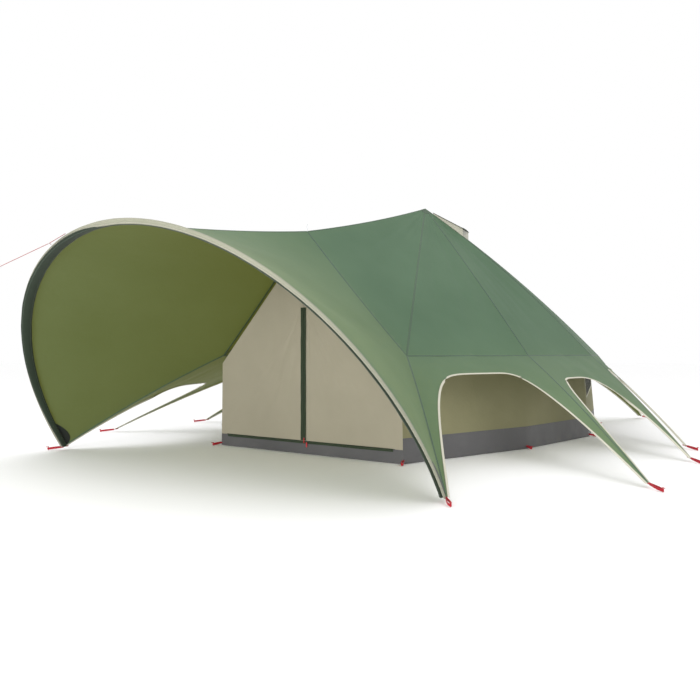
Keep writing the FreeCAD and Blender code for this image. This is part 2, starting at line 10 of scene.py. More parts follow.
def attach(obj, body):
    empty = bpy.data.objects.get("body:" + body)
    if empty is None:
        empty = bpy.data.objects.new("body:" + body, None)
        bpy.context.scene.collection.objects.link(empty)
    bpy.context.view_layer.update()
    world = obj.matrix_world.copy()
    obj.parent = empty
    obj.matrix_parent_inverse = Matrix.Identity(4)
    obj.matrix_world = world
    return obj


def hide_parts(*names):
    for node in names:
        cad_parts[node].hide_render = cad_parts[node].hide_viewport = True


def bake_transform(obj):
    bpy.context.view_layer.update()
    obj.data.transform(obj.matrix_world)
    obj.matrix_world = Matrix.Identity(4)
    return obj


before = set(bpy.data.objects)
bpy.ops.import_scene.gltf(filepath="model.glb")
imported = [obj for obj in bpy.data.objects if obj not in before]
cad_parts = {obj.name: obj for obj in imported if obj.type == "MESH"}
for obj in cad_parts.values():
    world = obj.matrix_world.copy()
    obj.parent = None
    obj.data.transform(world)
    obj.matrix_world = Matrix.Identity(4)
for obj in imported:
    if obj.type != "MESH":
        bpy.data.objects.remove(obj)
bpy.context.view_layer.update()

# ---------------------------- sizes, in metres, as in the CAD model
SHIFT_Y = 0.480             # from the main pole's foot to the middle of the footprint
FLIP = np.array([-1.0, 1.0, 1.0])
PEAK = np.array([0.0, 0.0, 2.600])
PORCH = np.array([0.0, -2.160, 2.030])
EAVES = [np.array([x, y, 0.890]) for x, y in
         [(1.070, -2.170), (1.550, -0.730), (1.730, 0.630), (1.660, 0.950), (1.420, 1.920)]]
PEGS = [np.array([x, y, 0.0]) for x, y in
        [(2.075, -3.345), (3.000, -2.150), (3.005, -0.725), (2.815, 0.130), (1.645, 3.310)]]
LAST = 4                    # number of the last seam, at the back corner
TIP_SHARE = 0.965           # share of the way from eave to peg where the cloth of a leg ends
TIPS = [e + (p - e) * TIP_SHARE for e, p in zip(EAVES, PEGS)]
PEG_AHEAD = 0.085           # from where a leg would reach the ground to its peg
HOOP_HALF_WIDTH = 2.050
HOOP_FOOT_Y = -3.320
HOOP_FOOT_Z = 0.031
HOOP_RISE = 1.769           # from the hoop's feet to its crown
HOOP_LEAN = 0.960           # how far the crown leans forward of the feet
HOOP_BELLY = 0.150          # extra forward bow halfway up
SEAM_BULGE = [0.020, 0.030, 0.085, 0.085, 0.085]
RIDGE_SAG = 0.100           # sags and lifts are four times the depth in the middle
CREASE_SAG = 0.072
AWNING_SAG = 0.112
PANEL_SAG = 0.088
LEG_LIFT = 0.120
CREASE_ROWS = 8             # awning rows along the crease, of AWNING_ROWS in all
AWNING_ROWS = 14
# An arch: how far down the legs its top is, where across the panel, how square its two ends are.
NEAR_ARCHES = [(0.19, 0.59, 7.1, 3.2), (0.26, 0.33, 5.6, 3.2), (0.20, 0.5, 4.0, 4.0),
               (0.15, 0.5, 5.0, 5.0)]
FAR_ARCHES = [(0.39, 0.62, 6.1, 4.8)] + NEAR_ARCHES[1:]
BACK_ARCH = (0.12, 0.5, 5.3, 5.3)
LEG_EDGE = 0.012            # share of a skirt that is still leg at the tip
PATCH = 0.035               # share of each roof seam covered by the peak patch
VENT_END = 0.20             # share of the seam where the vent net stops
VENT_TOP = 0.05             # hinge of the vent hood, as a share of the seam
VENT_LOW = 0.235            # lower rim of the vent hood
VENT_TOP_LIFT = 0.0165      # height of the hood over the roof at its hinge and at its rim
VENT_LOW_LIFT = 0.0945
BODY_CENTRE = np.array([0.0, -0.3, -0.5])    # the cloth of the body faces away from here
UNDER_AWNING = np.array([0.0, -3.0, 0.0])

INNER = [(1.060, -2.210), (1.530, -0.720), (1.710, 0.620), (1.400, 1.880)]
INNER_TOP = [(1.045, -2.210), (1.480, -0.700), (1.645, 0.600), (1.345, 1.815)]
FRONT_Y = -2.210
EAVE_Z = 0.815
GABLE_Z = 1.920
COLLAR_Z = 2.430            # rim of the hole in the inner roof that the main pole passes
COLLAR = 0.045              # half width of that hole
NOTCH = 0.030               # half width of the hole for the second pole
NOTCH_ENDS = (0.025, 0.080, 0.105)           # its corners, back from the gable
SILL_Z = 0.116
TUB_Z = 0.205
FLOOR_Z = 0.003
ZIP_TOP = 1.375
DOOR_HALF = 0.985
PANE = [(0.10, 0.36), (0.92, 0.50), (0.92, 0.94), (0.10, 0.94)]   # window, as shares of its wall

STRAP_WIDTH = 0.019
STRAP_GAP = 0.008           # from the end of a leg to its strap
STRAP_SWING = 0.0105 * 1.35  # half width of the loop
PEG_NECK = 0.012            # height of the strap where it passes round the peg
INNER_LOOP_Z = 0.026
INNER_LOOP_REACH = 1.035    # where the pegs of the inner tent stand, from its corners outward
BRIDLE = [(-0.458, -4.279, 1.757), (-0.647, -4.288, 1.705), (-0.680, -4.253, 1.704)]
GUY_START = (-0.653, -4.290, 1.703)
GUY_WAY = np.array([-0.90, -0.25, -0.30]) / math.sqrt(0.81 + 0.0625 + 0.09)
GUY_STATIONS = [0.0, 0.024, 0.536, 0.560]
KNOT = 0.024                # straight run of the bridle on each side of its bend
CORD_R = 0.002


def new_object(name, data):
    obj = bpy.data.objects.new(name, data)
    bpy.context.scene.collection.objects.link(obj)
    return obj


# ---------------------------- camera first
def make_camera():
    data = bpy.data.cameras.new("camera")
    cam = new_object("camera", data)
    data.sensor_width = 36.0
    data.lens = 36.0
    data.shift_x = -0.0129
    data.shift_y = 0.005
    cam.location = (4.087, -7.115 + SHIFT_Y, 0.911)
    cam.rotation_euler = (math.radians(90), 0, math.radians(35.28))
    bpy.context.scene.camera = cam


make_camera()


# ---------------------------- materials
def new_material(name):
    mat = bpy.data.materials.new(name)
    mat.use_nodes = True
    nodes = mat.node_tree.nodes
    return mat, nodes, mat.node_tree.links, nodes["Principled BSDF"]


def add(nodes, kind, **sockets):
    node = nodes.new(kind)
    for key, value in sockets.items():
        if hasattr(node, key):
            setattr(node, key, value)
        else:
            node.inputs[key.replace("_", " ")].default_value = value
    return node


def noise_node(nodes, links, coord, **sockets):
    node = add(nodes, "ShaderNodeTexNoise", **sockets)
    links.new(coord.outputs["Object"], node.inputs["Vector"])
    return node


def bump_node(nodes, links, height, strength, distance, under=None):
    """Bump from a height socket, on top of the normal of another bump."""
    node = add(nodes, "ShaderNodeBump", Strength=strength, Distance=distance)
    links.new(height, node.inputs["Height"])
    if under:
        links.new(under, node.inputs["Normal"])
    return node.outputs["Normal"]


def two_tones(nodes, links, fac, *stops):
    """Colour socket that goes from the first (place, colour) stop to the second."""
    ramp = add(nodes, "ShaderNodeValToRGB")
    for element, (place, colour) in zip(ramp.color_ramp.elements, stops):
        element.position = place
        element.color = (*colour, 1)
    links.new(fac, ramp.inputs["Fac"])
    return ramp.outputs["Color"]


def cloth_material(name, light, dark, rough=0.75, sheen=0.15, through=0.0, glow=None,
                   weave=900.0, crumple=0.0025, crumple_scale=9.0, lining=None):
    """Coated or woven cloth: tone drifts, weave and small creases; light passes through.
    lining is how the coating on the inside tints it.
    """
    mat, nodes, links, bsdf = new_material(name)
    coord = add(nodes, "ShaderNodeTexCoord")
    drift = noise_node(nodes, links, coord, Scale=1.3, Detail=4.0, Roughness=0.55)
    tone = two_tones(nodes, links, drift.outputs["Fac"], (0.32, dark), (0.68, light))
    links.new(tone, bsdf.inputs["Base Color"])
    if lining:
        face = add(nodes, "ShaderNodeNewGeometry")
        tint = add(nodes, "ShaderNodeMix", data_type="RGBA", blend_type="MULTIPLY")
        links.new(face.outputs["Backfacing"], tint.inputs["Factor"])
        links.new(tone, tint.inputs[6])
        tint.inputs[7].default_value = (*lining, 1)
        links.new(tint.outputs[2], bsdf.inputs["Base Color"])
    bsdf.inputs["Roughness"].default_value = rough
    bsdf.inputs["Sheen Weight"].default_value = sheen
    bsdf.inputs["Sheen Roughness"].default_value = 0.4
    bsdf.inputs["Specular IOR Level"].default_value = 0.3
    crease = noise_node(nodes, links, coord, Scale=crumple_scale, Detail=6.0, Roughness=0.62,
                        Distortion=0.6)
    fine = noise_node(nodes, links, coord, Scale=weave, Detail=2.0, Roughness=0.5)
    folds = bump_node(nodes, links, crease.outputs["Fac"], 0.9, crumple)
    normal = bump_node(nodes, links, fine.outputs["Fac"], 0.35, 0.0006, folds)
    links.new(normal, bsdf.inputs["Normal"])
    if through:
        pass_light = add(nodes, "ShaderNodeBsdfTranslucent", Color=(*(glow or light), 1))
        links.new(normal, pass_light.inputs["Normal"])
        blend = add(nodes, "ShaderNodeMixShader", Fac=through)
        links.new(bsdf.outputs["BSDF"], blend.inputs[1])
        links.new(pass_light.outputs["BSDF"], blend.inputs[2])
        links.new(blend.outputs["Shader"], nodes["Material Output"].inputs["Surface"])
    return mat


def stitched(mat, thread):
    """Two rows of lockstitch along a tape, from its length and width coordinates."""
    pitch, place, half_width, drawn = 0.0045, 0.72, 0.055, 0.72
    nodes, links = mat.node_tree.nodes, mat.node_tree.links
    bsdf = nodes["Principled BSDF"]
    coord = add(nodes, "ShaderNodeTexCoord")
    split = add(nodes, "ShaderNodeSeparateXYZ")
    links.new(coord.outputs["UV"], split.inputs["Vector"])

    def math_node(kind, first, second):
        node = add(nodes, "ShaderNodeMath", operation=kind)
        for socket, value in zip(node.inputs, (first, second)):
            if isinstance(value, float):
                socket.default_value = value
            elif value is not None:
                links.new(value, socket)
        return node.outputs["Value"]

    off = math_node("SUBTRACT", math_node("ABSOLUTE", split.outputs["Y"], None), place)
    on_row = math_node("LESS_THAN", math_node("ABSOLUTE", off, None), half_width)
    step = math_node("FRACT", math_node("DIVIDE", split.outputs["X"], pitch), None)
    mask = math_node("MULTIPLY", on_row, math_node("LESS_THAN", step, drawn))
    old = bsdf.inputs["Base Color"].links[0].from_socket
    blend = add(nodes, "ShaderNodeMix", data_type="RGBA")
    links.new(mask, blend.inputs["Factor"])
    links.new(old, blend.inputs[6])
    blend.inputs[7].default_value = (*thread, 1)
    links.new(blend.outputs[2], bsdf.inputs["Base Color"])
    last = bsdf.inputs["Normal"].links[0].from_socket
    links.new(bump_node(nodes, links, mask, 0.6, 0.0008, last), bsdf.inputs["Normal"])
    return mat


def net_material(name, color):
    """Fine insect net: threads with see-through gaps."""
    mat = cloth_material(name, color, tuple(c * 0.8 for c in color), rough=0.85)
    nodes, links = mat.node_tree.nodes, mat.node_tree.links
    bsdf = nodes["Principled BSDF"]
    coord = add(nodes, "ShaderNodeTexCoord")
    cells = add(nodes, "ShaderNodeTexVoronoi", Scale=420.0)
    links.new(coord.outputs["Object"], cells.inputs["Vector"])
    step = add(nodes, "ShaderNodeMath", operation="GREATER_THAN")
    step.inputs[1].default_value = 0.45
    links.new(cells.outputs["Distance"], step.inputs[0])
    soft = add(nodes, "ShaderNodeMapRange")
    soft.inputs["To Min"].default_value = 0.62
    soft.inputs["To Max"].default_value = 0.95
    links.new(step.outputs["Value"], soft.inputs["Value"])
    links.new(soft.outputs["Result"], bsdf.inputs["Alpha"])
    return mat


def hard_material(name, color, rough=0.35, metal=0.0, scale=180.0, worn=None):
    """Enamel, steel or moulded plastic with a fine surface grain and rubbed spots."""
    mat, nodes, links, bsdf = new_material(name)
    coord = add(nodes, "ShaderNodeTexCoord")
    spots = noise_node(nodes, links, coord, Scale=26.0, Detail=5.0, Roughness=0.6)
    rubbed = worn or tuple(min(1, c * 1.35 + 0.02) for c in color)
    tone = two_tones(nodes, links, spots.outputs["Fac"], (0.35, color), (0.8, rubbed))
    links.new(tone, bsdf.inputs["Base Color"])
    bsdf.inputs["Metallic"].default_value = metal
    shine = add(nodes, "ShaderNodeMapRange")
    shine.inputs["To Min"].default_value = rough * 0.8
    shine.inputs["To Max"].default_value = min(1.0, rough * 1.35)
    links.new(spots.outputs["Fac"], shine.inputs["Value"])
    links.new(shine.outputs["Result"], bsdf.inputs["Roughness"])
    fine = noise_node(nodes, links, coord, Scale=scale, Detail=3.0)
    links.new(bump_node(nodes, links, fine.outputs["Fac"], 0.5, 0.0004), bsdf.inputs["Normal"])
    return mat


M_FLY = cloth_material("fly_cloth", (0.104, 0.186, 0.110), (0.084, 0.160, 0.091), rough=0.6,
                       sheen=0.04, through=0.20, glow=(0.34, 0.35, 0.045), crumple=0.004,
                       crumple_scale=6.0, lining=(0.65, 0.54, 0.45))
M_SEAM = stitched(cloth_material("seam_tape", (0.070, 0.118, 0.070), (0.055, 0.098, 0.056),
                                 rough=0.7, weave=500.0), (0.13, 0.19, 0.13))
M_PATCH = cloth_material("peak_patch_cloth", (0.060, 0.098, 0.060), (0.045, 0.078, 0.046), rough=0.75)
M_GUSSET = cloth_material("corner_cloth", (0.018, 0.022, 0.018), (0.012, 0.015, 0.012), rough=0.75)
M_BIND = stitched(cloth_material("binding_tape", (0.62, 0.60, 0.50), (0.54, 0.52, 0.42), rough=0.85,
                                 weave=400.0, crumple=0.001), (0.45, 0.43, 0.35))
# Same off-white tape as binding_tape, with its base colour darkened to about half: painted shade along
# the awning's mouth.
M_MOUTH_PAINTED_SHADE = stitched(cloth_material("mouth_tape_painted_shade", (0.30, 0.30, 0.23), (0.25, 0.25, 0.19), rough=0.85,
                                  weave=400.0, crumple=0.001), (0.45, 0.43, 0.35))
M_SLEEVE = stitched(cloth_material("sleeve_cloth", (0.022, 0.034, 0.020), (0.014, 0.024, 0.013),
                                   rough=0.85, weave=500.0), (0.05, 0.07, 0.05))
M_INNER = cloth_material("inner_cloth", (0.52, 0.475, 0.365), (0.46, 0.42, 0.32), rough=0.8,
                         sheen=0.15, through=0.25, glow=(0.40, 0.36, 0.24), crumple=0.004,
                         crumple_scale=7.0)
# Same cloth as inner_cloth, with a darker, greener base colour and glow: painted shade of the flysheet
# over the side and back walls.
M_WALL_PAINTED_SHADE = cloth_material("inner_wall_cloth_painted_shade", (0.28, 0.265, 0.150), (0.235, 0.225, 0.122), rough=0.8,
                        sheen=0.15, through=0.15, glow=(0.36, 0.35, 0.20), crumple=0.005,
                        crumple_scale=6.0)
M_FLOOR = cloth_material("groundsheet_cloth", (0.120, 0.118, 0.122), (0.090, 0.089, 0.092),
                         rough=0.55, crumple=0.004, crumple_scale=11.0)
M_NET_DARK = net_material("net_dark", (0.020, 0.024, 0.018))
M_NET_PALE = net_material("net_pale", (0.56, 0.54, 0.44))
M_ZIP = stitched(cloth_material("zip_tape", (0.030, 0.048, 0.024), (0.020, 0.034, 0.016), rough=0.75,
                                weave=700.0, crumple=0.0006, crumple_scale=60.0), (0.06, 0.09, 0.05))
M_COIL = cloth_material("zip_coil", (0.030, 0.045, 0.022), (0.018, 0.030, 0.014), rough=0.4,
                        weave=620.0, crumple=0.0009, crumple_scale=420.0)
M_RED = stitched(cloth_material("red_webbing", (0.42, 0.009, 0.022), (0.33, 0.006, 0.016), rough=0.7,
                                weave=600.0, crumple=0.0006, crumple_scale=60.0), (0.75, 0.06, 0.07))
M_PEG = hard_material("peg_enamel", (0.38, 0.010, 0.018), rough=0.3)
M_PULL = hard_material("pull_plastic", (0.58, 0.015, 0.028), rough=0.28)
M_SLIDER = hard_material("slider_metal", (0.06, 0.08, 0.06), rough=0.35, metal=0.8,
                         worn=(0.22, 0.24, 0.22))
M_STEEL = hard_material("pole_steel", (0.55, 0.56, 0.57), rough=0.32, metal=1.0, scale=90.0)
M_ROD = hard_material("rod_fibre", (0.03, 0.03, 0.03), rough=0.45)
M_FOOT = hard_material("foot_rubber", (0.02, 0.02, 0.02), rough=0.8)
M_CORD = cloth_material("cord_braid", (0.40, 0.05, 0.045), (0.25, 0.025, 0.025), rough=0.8,
                        weave=1400.0, crumple=0.0008, crumple_scale=500.0)


# ---------------------------- mesh helpers
def mix(a, b, t):
    return a + (b - a) * t


def wave(x, y, seed):
    return noise.noise(Vector((x, y, seed * 7.31)))


def place_mesh(name, mesh, material, body, nodes, sharp, thick=0.0):
    """Smooth mesh object on a body, standing for CAD nodes; edges over sharp degrees stay sharp."""
    mesh.materials.append(material)
    for poly in mesh.polygons:
        poly.use_smooth = True
    if sharp:
        mesh.set_sharp_from_angle(angle=math.radians(sharp))
    obj = new_object(name, mesh)
    if thick:
        mod = obj.modifiers.new("thickness", "SOLIDIFY")
        mod.thickness = thick
        mod.offset = 0.0
    if body:
        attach(obj, body)
    if nodes:
        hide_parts(*nodes)
    return obj


class Sheet:
    """Collects grids of points into one welded mesh."""

    def __init__(self):
        self.index = {}
        self.verts = []
        self.faces = []

    def vertex(self, p):
        key = tuple(round(float(c), 4) + 0.0 for c in p)
        if key not in self.index:
            self.index[key] = len(self.verts)
            self.verts.append((float(p[0]), float(p[1]) + SHIFT_Y, float(p[2])))
        return self.index[key]

    def grid(self, rows, flip=False):
        ids = [[self.vertex(p) for p in row] for row in rows]
        for a, b in zip(ids, ids[1:]):
            for i in range(len(a) - 1):
                face = [a[i], b[i], b[i + 1], a[i + 1]]
                face = [v for k, v in enumerate(face) if v != face[k - 1]]
                if len(set(face)) == len(face) > 2:
                    self.faces.append(face[::-1] if flip else face)

    def panel(self, f, nu, nw, side=1, flip=False, **folds):
        """Folded cloth panel f(u, w), on the near side (1) or mirrored to the far side (-1)."""
        self.grid(turned(patch(f, nu, nw, **folds), turn_of(side)), flip)

    def make(self, name, material, body="tent", nodes=(), thick=0.0, sharp=28.0):
        mesh = bpy.data.meshes.new(name)
        mesh.from_pydata(self.verts, [], self.faces)
        return place_mesh(name, mesh, material, body, nodes, sharp, thick)


def patch(f, nu, nw, fold=0.0, freq=(8.0, 1.4), seed=1.0, us=None, hold=0.6):
    """Grid of f(u, w) with folds that fade out towards the edges."""
    us = us if us is not None else [i / nu for i in range(nu + 1)]
    ws = [j / nw for j in range(nw + 1)]
    rows = [[np.asarray(f(u, w), dtype=float) for u in us] for w in ws]
    if not fold:
        return rows
    base = np.array(rows)
    du = np.gradient(base, axis=1)
    dw = np.gradient(base, axis=0)
    n = np.cross(du, dw)
    length = np.linalg.norm(n, axis=2, keepdims=True)
    n = n / np.maximum(length, 1e-9)
    for j, w in enumerate(ws):
        for i, u in enumerate(us):
            edge = (4 * u * (1 - u)) ** hold * (4 * w * (1 - w)) ** hold
            value = wave(u * freq[0], w * freq[1], seed)
            value += 0.45 * wave(u * freq[0] * 2.3, w * freq[1] * 2.0, seed + 3.7)
            base[j, i] += n[j, i] * fold * edge * value
    return [list(row) for row in base]


def ease(n):
    return [(1 - math.cos(math.pi * i / n)) / 2 for i in range(n + 1)]


SKIRT_US = sorted(ease(44) + [LEG_EDGE, 1 - LEG_EDGE])


def turn_of(side):
    """Factors that keep a shape on the near side (1) or mirror it to the far side (-1)."""
    return np.array([side, 1.0, 1.0])


def tag_of(side):
    return "near" if side > 0 else "far"


def turned(rows, turn):
    return [[p * turn for p in row] for row in rows]


def vec(x, y, z):
    return np.array([float(x), float(y), float(z)])


def span(start, end, n):
    return [start + (end - start) * i / n for i in range(n + 1)]


def unit(v):
    return v / max(np.linalg.norm(v), 1e-9)


class Trim:
    """Strips of tape, each with its length and width as texture coordinates."""

    def __init__(self):
        self.verts = []
        self.faces = []
        self.uvs = []

    def strip(self, rows, across, closed=False, caps=False):
        """Rows of points; across gives the -1..1 place of each column for the stitching."""
        first = len(self.verts)
        n = len(rows[0])
        run = [0.0]
        for a, b in zip(rows, rows[1:]):
            run.append(run[-1] + float(np.linalg.norm(np.mean(b, axis=0) - np.mean(a, axis=0))))
        for row in rows:
            self.verts += [(float(p[0]), float(p[1]) + SHIFT_Y, float(p[2])) for p in row]
        for j in range(len(rows) - 1):
            for i in range(n if closed else n - 1):
                k = (i + 1) % n
                a, b = first + j * n, first + (j + 1) * n
                self.faces.append([a + i, a + k, b + k, b + i])
                self.uvs.append([(run[j], across[i]), (run[j], across[k]),
                                 (run[j + 1], across[k]), (run[j + 1], across[i])])
        if caps:
            for j, turn in ((0, True), (len(rows) - 1, False)):
                ring = [first + j * n + i for i in range(n)]
                self.faces.append(ring[::-1] if turn else ring)
                self.uvs.append([(run[j], 0.0)] * n)

    def band(self, path, across, normal, width, thick, turn=1.0):
        """Closed flat band with rounded edges, centred on the path."""
        w, t = width / 2, thick / 2
        sec = [(-w, 0), (-w * 0.93, t), (-w * 0.5, t), (0, t), (w * 0.5, t), (w * 0.93, t),
               (w, 0), (w * 0.93, -t), (w * 0.5, -t), (0, -t), (-w * 0.5, -t), (-w * 0.93, -t)]
        rows = [[(p + a * x + n * z) * turn for x, z in sec]
                for p, a, n in zip(path, across, normal)]
        self.strip(rows, [x / w for x, z in sec], closed=True, caps=True)

    def lap(self, centre, left, right, normal, width):
        """Seam tape over a ridge: it follows the cloth on each side of the seam."""
        rows, w, lift = [], width / 2, 0.0016
        for p, a, b, n in zip(centre, left, right, normal):
            rows.append([p + a * w + n * 0.0004, p + a * w * 0.85 + n * lift,
                         p + a * w * 0.4 + n * lift * 1.2, p + n * lift * 1.4,
                         p + b * w * 0.4 + n * lift * 1.2, p + b * w * 0.85 + n * lift,
                         p + b * w + n * 0.0004])
        self.strip(rows, [-1, -0.85, -0.4, 0, 0.4, 0.85, 1])

    def make(self, name, material, body="tent", nodes=()):
        mesh = bpy.data.meshes.new(name)
        mesh.from_pydata(self.verts, [], self.faces)
        layer = mesh.uv_layers.new(name="along")
        layer.data.foreach_set("uv", [c for face in self.uvs for uv in face for c in uv])
        return place_mesh(name, mesh, material, body, nodes, sharp=50.0)


# ---------------------------- shape of the flysheet
def hoop(angle):
    a = math.radians(angle)
    w = math.sin(a)
    y = HOOP_FOOT_Y - HOOP_LEAN * w - HOOP_BELLY * w * (1 - w)
    return np.array([HOOP_HALF_WIDTH * math.cos(a), y, HOOP_FOOT_Z + HOOP_RISE * w])


def seam(i, w):
    return mix(PEAK, EAVES[i], w) + np.array([0, 0, 4 * SEAM_BULGE[i] * w * (1 - w)])


def ridge(w):
    return mix(PEAK, PORCH, w) - np.array([0, 0, RIDGE_SAG * w * (1 - w)])


def crease(u):
    return mix(PORCH, EAVES[0], u) - np.array([0, 0, CREASE_SAG * u * (1 - u)])


def leg(i, w):
    out = (TIPS[i] - EAVES[i]) * np.array([1, 1, 0])
    out = out / np.linalg.norm(out)
    lift = LEG_LIFT * w * (1 - w)
    return mix(EAVES[i], TIPS[i], w) + out * lift * 0.6 + np.array([0, 0, lift * 0.8])


def roof(left, right, foot):
    """Roof panel between two seams, from the peak to the foot line."""
    def f(u, w):
        a = left(w) - mix(PEAK, foot(0), w)
        b = right(w) - mix(PEAK, foot(1), w)
        drop = PANEL_SAG * u * (1 - u) * math.sin(math.pi * w)
        return mix(PEAK, foot(u), w) + mix(a, b, u) - np.array([0, 0, drop])
    return f


def skirt(left, right, arch):
    """Skirt panel between two legs, cut to an arch."""
    def f(u, v):
        top, crown, first, second = arch
        if u < crown:
            reach, power = (crown - u) / (crown - LEG_EDGE), first
        else:
            reach, power = (u - crown) / (1 - LEG_EDGE - crown), second
        cut = min(1.0, top + (1 - top) * reach ** power)
        return mix(left(cut * v), right(cut * v), u)
    return f


def awning(s, t):
    """Awning panel: s runs from the body to the hoop, t from the ridge to the ground."""
    k = t * AWNING_ROWS
    on_leg = (k - CREASE_ROWS) / (AWNING_ROWS - CREASE_ROWS)
    start = crease(k / CREASE_ROWS) if k <= CREASE_ROWS else leg(0, on_leg)
    sag = AWNING_SAG * (1 - t)
    return mix(start, hoop(90 * (1 - t)), s) - np.array([0, 0, sag * s * (1 - s)])


ROOFS = [roof(ridge, lambda w: seam(0, w), crease)]
for k in range(LAST):
    ROOFS.append(roof(lambda w, k=k: seam(k, w), lambda w, k=k: seam(k + 1, w),
                      lambda u, k=k: mix(EAVES[k], EAVES[k + 1], u)))
BACK_ROOF = roof(lambda w: seam(LAST, w), lambda w: seam(LAST, w) * FLIP,
                 lambda u: mix(EAVES[LAST], EAVES[LAST] * FLIP, u))
NEAR_SKIRTS, FAR_SKIRTS = [
    [skirt(lambda w, k=k: leg(k, w), lambda w, k=k: leg(k + 1, w), arches[k]) for k in range(LAST)]
    for arches in (NEAR_ARCHES, FAR_ARCHES)]
BACK_SKIRT = skirt(lambda w: leg(LAST, w), lambda w: leg(LAST, w) * FLIP, BACK_ARCH)


def below(f, start):
    return lambda u, w: f(u, start + (1 - start) * w)


def build_flysheet():
    sheet = Sheet()
    for side in (1, -1):
        for k, f in enumerate(ROOFS):
            start = VENT_END if side > 0 and k in (3, 4) else PATCH
            sheet.panel(below(f, start), 32 if k == 0 else 40, 48, side, side < 0, fold=0.010,
                        freq=(5.0, 1.1), seed=k + side)
        for k, f in enumerate(NEAR_SKIRTS if side > 0 else FAR_SKIRTS):
            sheet.panel(f, 46, 30, side, side < 0, fold=0.012, freq=(6.0, 1.3), seed=k + 11 + side,
                        us=SKIRT_US)
        sheet.panel(lambda u, w: awning(1 - u, w), 60, 84, side, side < 0, fold=0.012,
                    freq=(1.6, 7.0), seed=21 + side)
    sheet.panel(below(BACK_ROOF, PATCH), 40, 48, fold=0.012, freq=(5.0, 1.1), seed=31)
    sheet.panel(BACK_SKIRT, 46, 30, fold=0.012, freq=(6.0, 1.3), seed=32, us=SKIRT_US)
    nodes = ["fly_back", "skirt_back"]
    for tag in ("near", "far"):
        nodes += ["fly_front_" + tag, "awning_" + tag]
        nodes += ["fly_side_%d_%s" % (k, tag) for k in (1, 2, 3)]
        nodes += ["skirt_%d_%s" % (k, tag) for k in (1, 2, 3, 4)]
    return sheet.make("flysheet", M_FLY, nodes=nodes)


flysheet = build_flysheet()


# ---------------------------- seams, bindings and hoop
def seam_lines(trim, left, right, ws, turn, width=0.022):
    """Seam tape on the outside and inside of a seam between two panels."""
    centre, a, b, n = [], [], [], []
    for w in ws:
        p = left(0.0, w)
        ahead, behind = left(0.0, min(1.0, w + 0.01)), left(0.0, max(0.0, w - 0.01))
        along = unit(ahead - behind)
        one = left(0.03, w) - p
        two = right(0.03, w) - p
        one = unit(one - along * (one @ along))
        two = unit(two - along * (two @ along))
        up = unit(np.cross(along, unit(two - one)))
        if up @ (p - BODY_CENTRE) < 0:
            up = -up
        centre.append(p * turn)
        a.append(one * turn)
        b.append(two * turn)
        n.append(up * turn)
    trim.lap(centre, a, b, n, width)
    trim.lap(centre, a, b, [-v for v in n], width)


def backwards(f):
    return lambda u, w: f(1 - u, w)


def sideways(f, row):
    """The panel seen from one of its horizontal edges."""
    return lambda u, w: f(w, abs(row - u))


def build_seams():
    trim = Trim()
    for side in (1, -1):
        turn = turn_of(side)
        skirts = NEAR_SKIRTS if side > 0 else FAR_SKIRTS
        for k in range(LAST):
            seam_lines(trim, backwards(ROOFS[k]), ROOFS[k + 1], span(0.05, 1.0, 40), turn)
        seam_lines(trim, backwards(ROOFS[LAST]), BACK_ROOF, span(0.05, 1.0, 40), turn)
        for k in range(1, LAST + 1):
            near = skirts[k] if k < LAST else BACK_SKIRT
            seam_lines(trim, backwards(skirts[k - 1]), near, span(0.0, 0.985, 36), turn, 0.018)
        for k in range(LAST):
            seam_lines(trim, sideways(ROOFS[k + 1], 1.0), sideways(skirts[k], 0.0),
                       span(0.0, 1.0, 30), turn, 0.020)
        seam_lines(trim, sideways(ROOFS[0], 1.0), lambda u, w: awning(u, w * CREASE_ROWS / AWNING_ROWS),
                   span(0.0, 1.0, 36), turn)
        leg_rows = AWNING_ROWS - CREASE_ROWS
        seam_lines(trim, skirts[0], lambda u, w: awning(u, (CREASE_ROWS + leg_rows * w) / AWNING_ROWS),
                   span(0.0, 0.985, 30), turn)
    seam_lines(trim, ROOFS[0], lambda u, w: ROOFS[0](u, w) * FLIP, span(0.05, 1.0, 40), turn_of(1))
    seam_lines(trim, sideways(BACK_ROOF, 1.0), sideways(BACK_SKIRT, 0.0), span(0.0, 1.0, 40),
               turn_of(1), 0.020)
    seam_lines(trim, lambda u, w: awning(w, u), lambda u, w: awning(w, u) * FLIP,
               span(0.0, 0.99, 40), turn_of(1))
    return trim.make("fly_seams", M_SEAM)


def edge_frames(path, inside, away_from):
    """Outward direction and cloth normal at each point of an edge."""
    outs, normals = [], []
    for i, p in enumerate(path):
        along = unit(path[min(i + 1, len(path) - 1)] - path[max(i - 1, 0)])
        out = p - inside[i]
        out = unit(out - along * (out @ along))
        n = unit(np.cross(along, out))
        if n @ (p - away_from) < 0:
            n = -n
        outs.append(out)
        normals.append(n)
    return outs, normals


def build_arch_bindings():
    trim = Trim()
    for side in (1, -1):
        turn = turn_of(side)
        for f in NEAR_SKIRTS + [BACK_SKIRT] if side > 0 else FAR_SKIRTS:
            us = [LEG_EDGE + (1 - 2 * LEG_EDGE) * u for u in ease(110)]
            path = [f(u, 1.0) for u in us]
            inside = [p + (f(0.5, 0.0) - p) * 0.05 for p in path]
            outs, normals = edge_frames(path, inside, BODY_CENTRE)
            trim.band([p - o * 0.004 for p, o in zip(path, outs)], outs, normals, 0.019, 0.0045, turn)
    return trim.make("arch_bindings", M_BIND, nodes=["arch_piping"])


def hoop_line(n=120):
    ts = [1.0 - i / n for i in range(n + 1)]
    near = [(awning(1.0, t), awning(0.93, t)) for t in ts]
    far = [(a * FLIP, b * FLIP) for a, b in reversed(near[:-1])]
    path = [a for a, b in near + far]
    inside = [b for a, b in near + far]
    outs, normals = edge_frames(path, inside, UNDER_AWNING)
    return path, outs, normals


